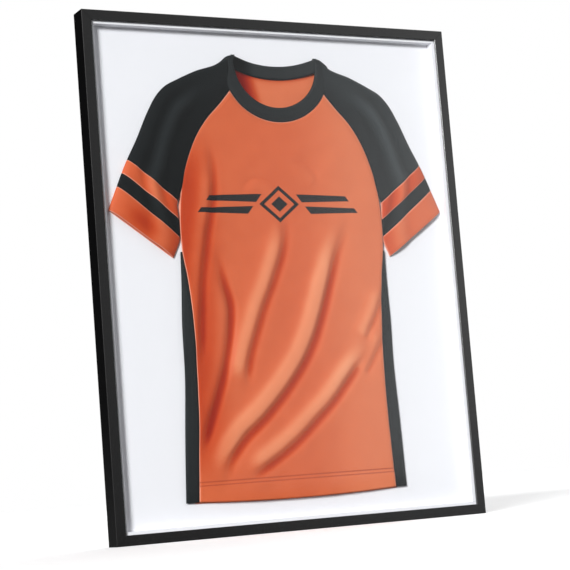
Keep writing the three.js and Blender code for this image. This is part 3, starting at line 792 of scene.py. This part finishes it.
# Each stretch of the sleeve runs between two stations of the pattern: point numbers on the outer
# and the inner outline.
sleeveShape = {
    "outerStations": (0, 8, 9, 10, 11), "innerStations": (0, 7, 8, 9, 10),
    "round": 0.20, "innerRound": 0.30, "wall": 0.7, "around": 100, "rowsMain": 150, "rowsBand": 26,
    "lengths": (190.0, 26.0, 26.0, 40.0), "sag": 0.35, "roll": 0.55, "rollReach": 2.0,
    "ridges": [(0.44, 0.10, 2.3), (0.68, 0.10, -1.9), (0.24, 0.08, -1.3)],  # place, width, height
    "shadeLeft": (0.25, 0.15, 0.3, 0.1), "shadeRight": (-0.25, 0.35, 0.1, -0.1),
    "ridgeShade": 0.16, "bodyShade": 0.35, "hemShade": 0.9, "cuffShade": 0.9,
}
sleeveParts = [("sleeve", 0, charcoalCloth, "charcoal_jersey"),
               ("sleeve_stripe", 1, orangeCloth, "orange_jersey"),
               ("sleeve_band", 2, charcoalCloth, "charcoal_jersey"),
               ("sleeve_cuff", 3, orangeCloth, "orange_jersey")]


def sleeveEdges(s):
    # the two outline points at station s, where whole numbers are the seams across the sleeve
    outerAt = chordShares(pattern["sleeveOuter"])[list(sleeveShape["outerStations"])]
    innerAt = chordShares(pattern["sleeveInner"])[list(sleeveShape["innerStations"])]
    outer = smoothCurve(pattern["sleeveOuter"], np.interp(s, range(5), outerAt))
    inner = smoothCurve(pattern["sleeveInner"], np.interp(s, range(5), innerAt))
    return outer, inner


def quarter(value):
    # 1 at 0, falling like a quarter-circle to 0 at 1
    return 1 - np.sqrt(np.clip(1 - (1 - np.clip(value, 0, 1)) ** 2, 0, 1))


def sleeveRidge(s, t):
    # a soft fold down the sleeve, as a sum of bell curves: a light ridge with a valley on each side
    drift = 0.10 * (s - 0.6)
    ridge = sum(height * bump(t - where - drift, width)
                for where, width, height in sleeveShape["ridges"])
    return ridge * smoothStep(s, 0.15, 0.5) * (1 - 0.5 * smoothStep(s, 1.0, 3.5))


def sleeveGrid(s, turn, side):
    # a flattened tube: the front half runs from the outer fold to the body, the back half returns
    f = sleeveShape
    outer, inner = sleeveEdges(s)
    t = (1 - np.cos(turn)) / 2
    flat = outer + (inner - outer) * t[..., None]
    x, z = flat[..., 0], flat[..., 1]
    loose = smoothStep(s, 0.86, 1.3)
    bodySide = bodyDepth(side * inner[..., 0], inner[..., 1])
    innerDepth = bodySide * (1 - loose) + depths["cuffInner"] * loose + 0.5
    middle = depths["sleeve"] + 0.3 * smoothStep(s, 0, 0.3)
    sag = f["sag"] * np.sin(7 * t + 2.3 * s + side)
    innerRound = f["innerRound"] * (1 - 0.3 * loose)
    frontDepth = (middle + (depths["backSheet"] - middle) * quarter(t / f["round"])
                  + (innerDepth - middle) * quarter((1 - t) / innerRound)
                  - sleeveRidge(s, t) - sag * np.sin(np.pi * t))
    backDepth = depths["backSheet"] + 0.25 - 0.2 * t
    rimDepth = np.where(t < 0.5, depths["backSheet"] - 0.1, innerDepth)
    backMix = smoothStep(np.sin(turn) * -1, 0.0, 0.25)
    depth = np.where(turn <= np.pi, frontDepth, rimDepth * (1 - backMix) + backDepth * backMix)
    return x, z, depth


def makeSleevePart(side, sideName, part):
    # one stretch of the tube between two stations, with its two ends rolled in at the seams
    name, start, material, slotName = part
    f = sleeveShape
    rows = f["rowsMain"] if start == 0 else f["rowsBand"]
    angles = np.linspace(0, 2 * np.pi, f["around"], endpoint=False)
    along, turn = np.meshgrid(evenToEdges(rows, 0.3), angles, indexing="ij")
    s = start + along
    x, z, depth = sleeveGrid(s, turn, side)
    outer, inner = sleeveEdges(s)
    length = f["lengths"][start]
    toEnd = np.minimum(along, 1 - along) * length
    t = (1 - np.cos(turn)) / 2
    width = np.hypot(*np.moveaxis(outer - inner, -1, 0))
    toBody = (1 - t) * width
    edge = np.minimum(toEnd, toBody)
    isFront = turn < np.pi
    depth = depth + f["roll"] * bump(toEnd, f["rollReach"]) * isFront
    girth = np.where(turn <= np.pi, t, 2 - t) * width
    cloth = np.stack([girth, s * length], -1) * millimetre
    points = toWorld(side * x, z, depth)
    if side > 0:
        points, cloth, edge = points[:, ::-1], cloth[:, ::-1], edge[:, ::-1]
    # painted shade and light: darker in the valleys beside the ridge and lighter on it, darker near the
    # body, at the hem of the cuff and in a patch on the left cuff; each part of each sleeve also gets
    # its own fixed painted offset, some darker and some lighter
    isCuff = name == "sleeve_cuff"
    paintedHemShade = f["hemShade"] * bump(toEnd, 1.6) * isCuff * (along > 0.5)
    paintedCuffShade = f["cuffShade"] * bump(t - 0.45, 0.2) * bump(along - 0.55, 0.4) * isCuff * (side < 0)
    paintedShading = -f["ridgeShade"] * sleeveRidge(s, t) + f["bodyShade"] * bump(toBody, 22) + paintedHemShade + paintedCuffShade
    paintedShading = paintedShading * isFront + (f["shadeRight"] if side > 0 else f["shadeLeft"])[start]
    if side > 0:
        paintedShading = paintedShading[:, ::-1]
    piece = gridMesh(f"{name}_{sideName}_cloth", points, cloth, edge, paintedShading, closedAcross=True)
    thicken(piece, f["wall"])
    dress(piece, material, slotName, f"{name}_{sideName}")
    return piece, width.mean() * 2 * millimetre, length * millimetre


for sideName, side in (("left", -1), ("right", 1)):
    for part in sleeveParts:
        piece, girth, length = makeSleevePart(side, sideName, part)
print("sleeves sewn")

collar = {"around": 150, "across": 22, "wall": 1.1, "band": 23, "frontHalf": 135, "backHalf": 85,
          "backReach": 78, "bend": 0.93, "climb": 4.2, "innerRoll": 2.6, "seamStep": 1.7, "wave": 0.3,
          "backRollLow": 0.9, "backRollHigh": 1.2, "crookShade": 0.9, "lowerShade": 0.6,
          "openLight": 0.1}


def makeFrontCollar():
    # a band swept along the neck's half-ellipse and up over each shoulder; its section is a low
    # crown whose inner edge rolls to the back
    f = collar
    path, across = np.meshgrid(np.linspace(-1, 1, f["around"]), np.linspace(0, 1, f["across"]),
                               indexing="ij")
    # |path| up to the bend is the half-ellipse, the rest is the rise to the peak
    turn = np.clip(np.abs(path) / f["bend"], 0, 1) * np.pi / 2
    up = np.clip((np.abs(path) - f["bend"]) / (1 - f["bend"]), 0, 1)
    (innerWide, innerTall), (outerWide, outerTall) = pattern["neckInner"], pattern["neckOuter"]
    wide = innerWide + (outerWide - innerWide) * across
    tall = innerTall + (outerTall - innerTall) * across
    x = wide * np.sin(turn)
    z = pattern["neckCentre"] - tall * np.cos(turn)
    (peakIn, peakHigh), (peakOut, peakLow) = pattern["collarPeak"], pattern["collarShoulder"]
    peakX = peakIn + (peakOut - peakIn) * across
    peakZ = peakHigh + (peakLow - peakHigh) * across
    x = x + (peakX - x) * up ** 1.2
    z = z + (peakZ - z) * up
    side = np.sign(path)
    height = smoothStep(z, 640, 712)
    middle = depths["collarFront"] + f["climb"] * height
    depth = middle + f["innerRoll"] * quarter(across / 0.22) \
        + f["seamStep"] * smoothStep(across, 0.55, 1.0) \
        + f["wave"] * np.sin(path * 9 + 1) * (1 - height)
    cloth = np.stack([path * f["frontHalf"], across * f["band"]], -1) * millimetre
    edge = (1 - across) * f["band"]
    points = toWorld(side * x, z, depth)
    piece = gridMesh("collar_front_cloth", points[:, ::-1], cloth[:, ::-1], edge[:, ::-1])
    thicken(piece, f["wall"])
    dress(piece, ribCloth, "charcoal_jersey", "collar_front")
    return piece


def makeBackCollar():
    # the back of the neckband, seen from inside: an arc that comes forward to each shoulder
    f = collar
    path, across = np.meshgrid(np.linspace(-1, 1, f["around"] // 2), np.linspace(0, 1, f["across"]),
                               indexing="ij")
    x = path * f["backReach"]
    low, high = pattern["backNeckLow"], pattern["backNeckHigh"]
    z = low + (high - low) * across + pattern["backNeckRise"] * (x / pattern["neckInner"][0]) ** 2
    forward = smoothStep(np.abs(path), 0.45, 1.0)
    middle, end = depths["collarBackMiddle"], depths["collarBackEnd"]
    depth = middle + (end - middle) * forward + f["backRollLow"] * quarter(across / 0.2) \
        + f["backRollHigh"] * quarter((1 - across) / 0.25)
    cloth = np.stack([path * f["backHalf"], across * f["band"]], -1) * millimetre
    edge = across * f["band"]
    # painted shade: darker in the crook on the left and along the lower edge, and the whole band
    # painted a little lighter
    paintedShading = f["crookShade"] * smoothStep(-path, 0.45, 0.85) + f["lowerShade"] * bump(across, 0.12) \
        - f["openLight"]
    points = toWorld(x, z, depth)
    piece = gridMesh("collar_back_cloth", points[:, ::-1], cloth[:, ::-1], edge[:, ::-1],
                     paintedShading[:, ::-1])
    thicken(piece, f["wall"])
    dress(piece, ribCloth, "charcoal_jersey", "collar_back")
    return piece


frontBand, backBand = makeFrontCollar(), makeBackCollar()
print("collar sewn")

studio = {"floorHalf": 60.0, "paper": (0.97, 0.97, 0.975, 1), "paperGlow": 0.22,
          "paperBounce": (0.11, 0.11, 0.11, 1),
          "dim": 0.006, "sky": 0.37, "skyFrom": (0.3, -0.2, 1.0),
          "window": 1.0, "windowFrom": (0.8, -0.6, 0.0), "rear": 3.2, "rearFrom": (0.74, 0.60, 0.30),
          "keyFrom": (-0.66, -0.68, 0.25), "keyStrength": 4.55, "keyAngle": 0.26}


def makeFloor():
    # one large sheet of pale paper
    half = studio["floorHalf"]
    u, v = np.meshgrid([-half, half], [-half, half])
    points = np.stack([u, v, u * 0], -1)
    floor = gridMesh("floor", points)
    material, tree, shader = newMaterial("floor_paper", Roughness=0.9)
    shader.inputs["Base Color"].default_value = studio["paper"]
    # white to the eye, but it throws little light back up onto the front of the frame
    quiet = tree.nodes.new("ShaderNodeBsdfDiffuse")
    quiet.inputs["Color"].default_value = studio["paperBounce"]
    choose = tree.nodes.new("ShaderNodeMixShader")
    feed(tree, choose.inputs[0], tree.nodes.new("ShaderNodeLightPath").outputs["Is Camera Ray"])
    feed(tree, choose.inputs[1], quiet.outputs[0])
    feed(tree, choose.inputs[2], shader.outputs[0])
    feed(tree, tree.nodes["Material Output"].inputs["Surface"], choose.outputs[0])
    shader.inputs["Specular IOR Level"].default_value = 0.1
    shader.inputs["Emission Color"].default_value = (1, 1, 1, 1)
    shader.inputs["Emission Strength"].default_value = studio["paperGlow"]
    floor.data.materials.append(material)


def makeKey():
    # the main light: a broad sun from the front left, somewhat above
    light = bpy.data.lights.new("key", "SUN")
    light.energy = studio["keyStrength"]
    light.angle = studio["keyAngle"]
    holder = bpy.data.objects.new("key", light)
    holder.rotation_euler = (-Vector(studio["keyFrom"])).to_track_quat("-Z", "Y").to_euler()
    bpy.context.scene.collection.objects.link(holder)


def makeWorld():
    # white to the eye; as light it is a dim room with a bright sky, a tall soft window on the right
    # and a broad light behind
    world = bpy.data.worlds.new("studio_white")
    world.use_nodes = True
    tree = world.node_tree
    background = tree.nodes["Background"]
    direction = tree.nodes.new("ShaderNodeTexCoord").outputs["Generated"]

    def towards(source):
        dot = tree.nodes.new("ShaderNodeVectorMath")
        dot.operation = "DOT_PRODUCT"
        feed(tree, dot.inputs[0], direction)
        dot.inputs[1].default_value = studio[source]
        return dot.outputs["Value"]

    sky = mapRange(tree, towards("skyFrom"), 0.0, 0.9, studio["dim"], studio["sky"])
    window = mapRange(tree, towards("windowFrom"), 0.85, 0.98, 0.0, studio["window"])
    rear = mapRange(tree, towards("rearFrom"), 0.72, 0.98, 0.0, studio["rear"])
    lit = calc(tree, "ADD", calc(tree, "ADD", sky, window), rear)
    seen = tree.nodes.new("ShaderNodeLightPath").outputs["Is Camera Ray"]
    unseen = calc(tree, "SUBTRACT", 1.0, seen)
    strength = calc(tree, "ADD", calc(tree, "MULTIPLY", lit, unseen), seen)
    background.inputs["Color"].default_value = (1, 1, 1, 1)
    feed(tree, background.inputs["Strength"], strength)
    bpy.context.scene.world = world


view = {"lens": 108.16, "sensor": 36, "farthest": 200, "from": (-1.2774, -2.4071, 0.0657),
        "right": (0.8855, -0.4579, -0.0791), "up": (0.0154, -0.1412, 0.9899),
        "ahead": (0.4644, 0.8777, 0.1180)}


def makeCamera():
    # a long lens from the left of the frame and below its middle, looking slightly up
    camera = bpy.data.cameras.new("view")
    camera.lens = view["lens"]
    camera.sensor_width = view["sensor"]
    camera.clip_end = view["farthest"]
    holder = bpy.data.objects.new("view", camera)
    right, up, ahead = (Vector(view[key]) for key in ("right", "up", "ahead"))
    turn = Matrix((right, up, -ahead)).transposed().to_4x4()
    holder.matrix_world = Matrix.Translation(Vector(view["from"])) @ turn
    bpy.context.scene.collection.objects.link(holder)
    bpy.context.scene.camera = holder


makeFloor()
makeKey()
makeWorld()
makeCamera()
bpy.context.scene.view_settings.view_transform = "Standard"
print("studio ready")
